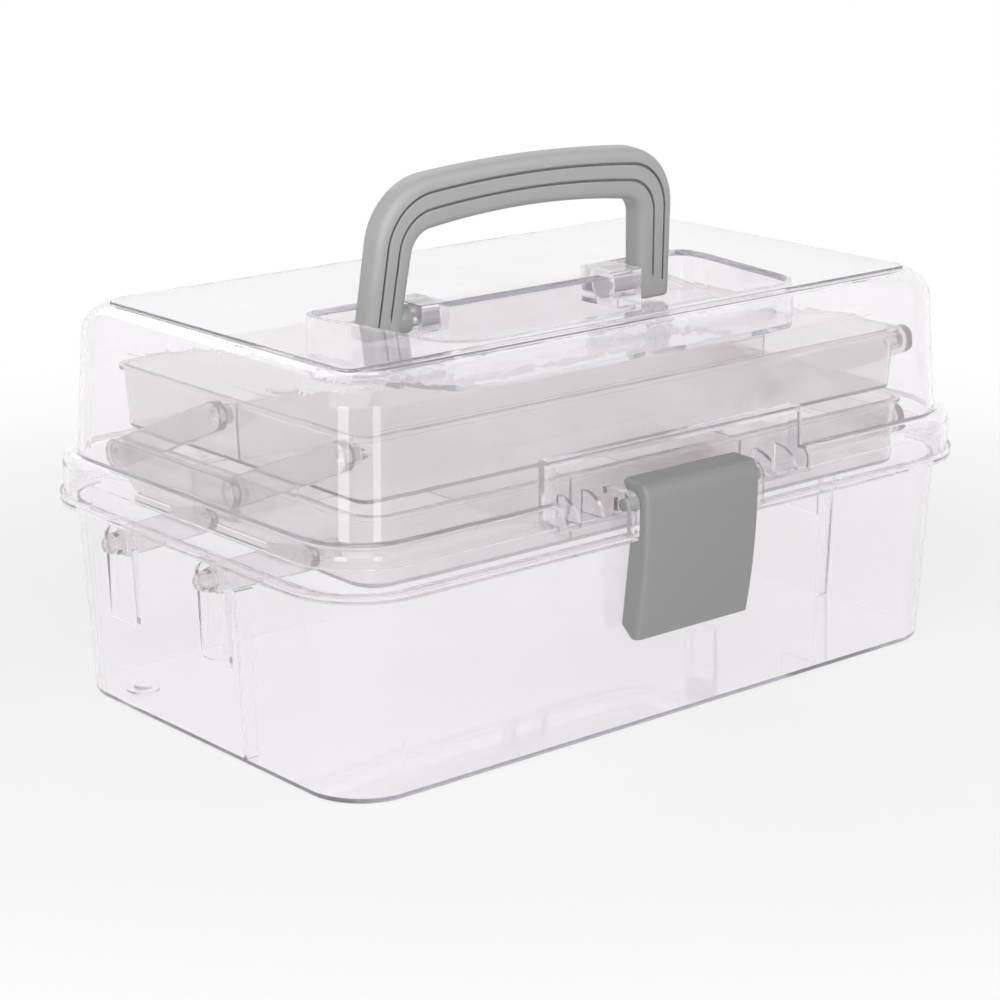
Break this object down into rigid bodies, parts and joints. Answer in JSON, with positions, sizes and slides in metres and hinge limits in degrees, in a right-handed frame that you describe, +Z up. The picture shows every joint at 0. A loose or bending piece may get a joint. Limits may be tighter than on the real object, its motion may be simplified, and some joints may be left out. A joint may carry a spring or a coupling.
{
  "type": "vanity storage case with fold-out trays",
  "caption": "Clear lidded storage case with a folding carrying handle, a front latch and stacked trays that lift out on parallel arms as the lid opens.",
  "frame": {"origin": "middle of the tub's flat underside, on the surface the case stands on", "axes": "+X along the long side to the right end as seen from the latch, +Y from the latch to the hinges, +Z up"},
  "size_m": [0.331, 0.2152, 0.2078],
  "materials": {
    "shell_clear": "moulded, clear and glossy",
    "tray_clear": "moulded, slightly milky",
    "link_smoke": "moulded, smoke-tinted",
    "handle_grey": "moulded, satin",
    "pin_steel": "drawn wire"
  },
  "bodies": {
    "base": {"base_tub": "shell_clear", "hinge_pin_left": "pin_steel", "hinge_pin_right": "pin_steel"},
    "lid": {"lid": "shell_clear"},
    "handle": {"handle": "handle_grey"},
    "latch": {"latch": "handle_grey"},
    "lower_arms_back": {"lower_arm_back_left": "link_smoke", "lower_arm_back_right": "link_smoke"},
    "lower_arms_front": {"lower_arm_front_left": "link_smoke", "lower_arm_front_right": "link_smoke"},
    "lower_tray": {"lower_tray": "tray_clear", "pivot_bar_left": "link_smoke", "pivot_bar_right": "link_smoke"},
    "upper_arms_back": {"upper_arm_back_left": "link_smoke", "upper_arm_back_right": "link_smoke"},
    "upper_arms_front": {"upper_arm_front_left": "link_smoke", "upper_arm_front_right": "link_smoke"},
    "upper_tray": {"upper_tray": "tray_clear"}
  },
  "joints": [
    {"name": "lid_hinge", "type": "hinge", "parent": "base", "child": "lid", "pos_m": [0, 0.1049, 0.0937], "axis": [-1, 0, 0], "range_deg": [0, 110]},
    {"name": "handle_fold", "type": "hinge", "parent": "lid", "child": "handle", "pos_m": [0, 0.0005, 0.14922], "axis": [1, 0, 0], "range_deg": [-6, 84]},
    {"name": "latch_swing", "type": "hinge", "parent": "lid", "child": "latch", "pos_m": [0, -0.0988, 0.0927], "axis": [-1, 0, 0], "range_deg": [0, 65]},
    {"name": "lower_arms_back_pivot", "type": "hinge", "parent": "base", "child": "lower_arms_back", "pos_m": [0, 0.0505, 0.068], "axis": [-1, 0, 0], "range_deg": [0, 52]},
    {"name": "lower_arms_front_pivot", "type": "hinge", "parent": "base", "child": "lower_arms_front", "pos_m": [0, -0.01048, 0.068], "axis": [-1, 0, 0], "range_deg": [0, 52]},
    {"name": "lower_tray_level", "type": "hinge", "parent": "lower_arms_back", "child": "lower_tray", "pos_m": [0, -0.00142, 0.08898], "axis": [-1, 0, 0], "range_deg": [-52, 0]},
    {"name": "upper_arms_back_pivot", "type": "hinge", "parent": "lower_tray", "child": "upper_arms_back", "pos_m": [0, 0.063, 0.0992], "axis": [-1, 0, 0], "range_deg": [0, 52]},
    {"name": "upper_arms_front_pivot", "type": "hinge", "parent": "lower_tray", "child": "upper_arms_front", "pos_m": [0, -0.0115, 0.0992], "axis": [-1, 0, 0], "range_deg": [0, 52]},
    {"name": "upper_tray_level", "type": "hinge", "parent": "upper_arms_back", "child": "upper_tray", "pos_m": [0, 0.00225, 0.12499], "axis": [-1, 0, 0], "range_deg": [-52, 0]}
  ],
  "couplings": [
    {"joint": "lower_arms_back_pivot", "follows": "lid_hinge", "ratio": 0.4727},
    {"joint": "lower_arms_front_pivot", "follows": "lid_hinge", "ratio": 0.4727},
    {"joint": "lower_tray_level", "follows": "lid_hinge", "ratio": -0.4727},
    {"joint": "upper_arms_back_pivot", "follows": "lid_hinge", "ratio": 0.4727},
    {"joint": "upper_arms_front_pivot", "follows": "lid_hinge", "ratio": 0.4727},
    {"joint": "upper_tray_level", "follows": "lid_hinge", "ratio": -0.4727}
  ]
}
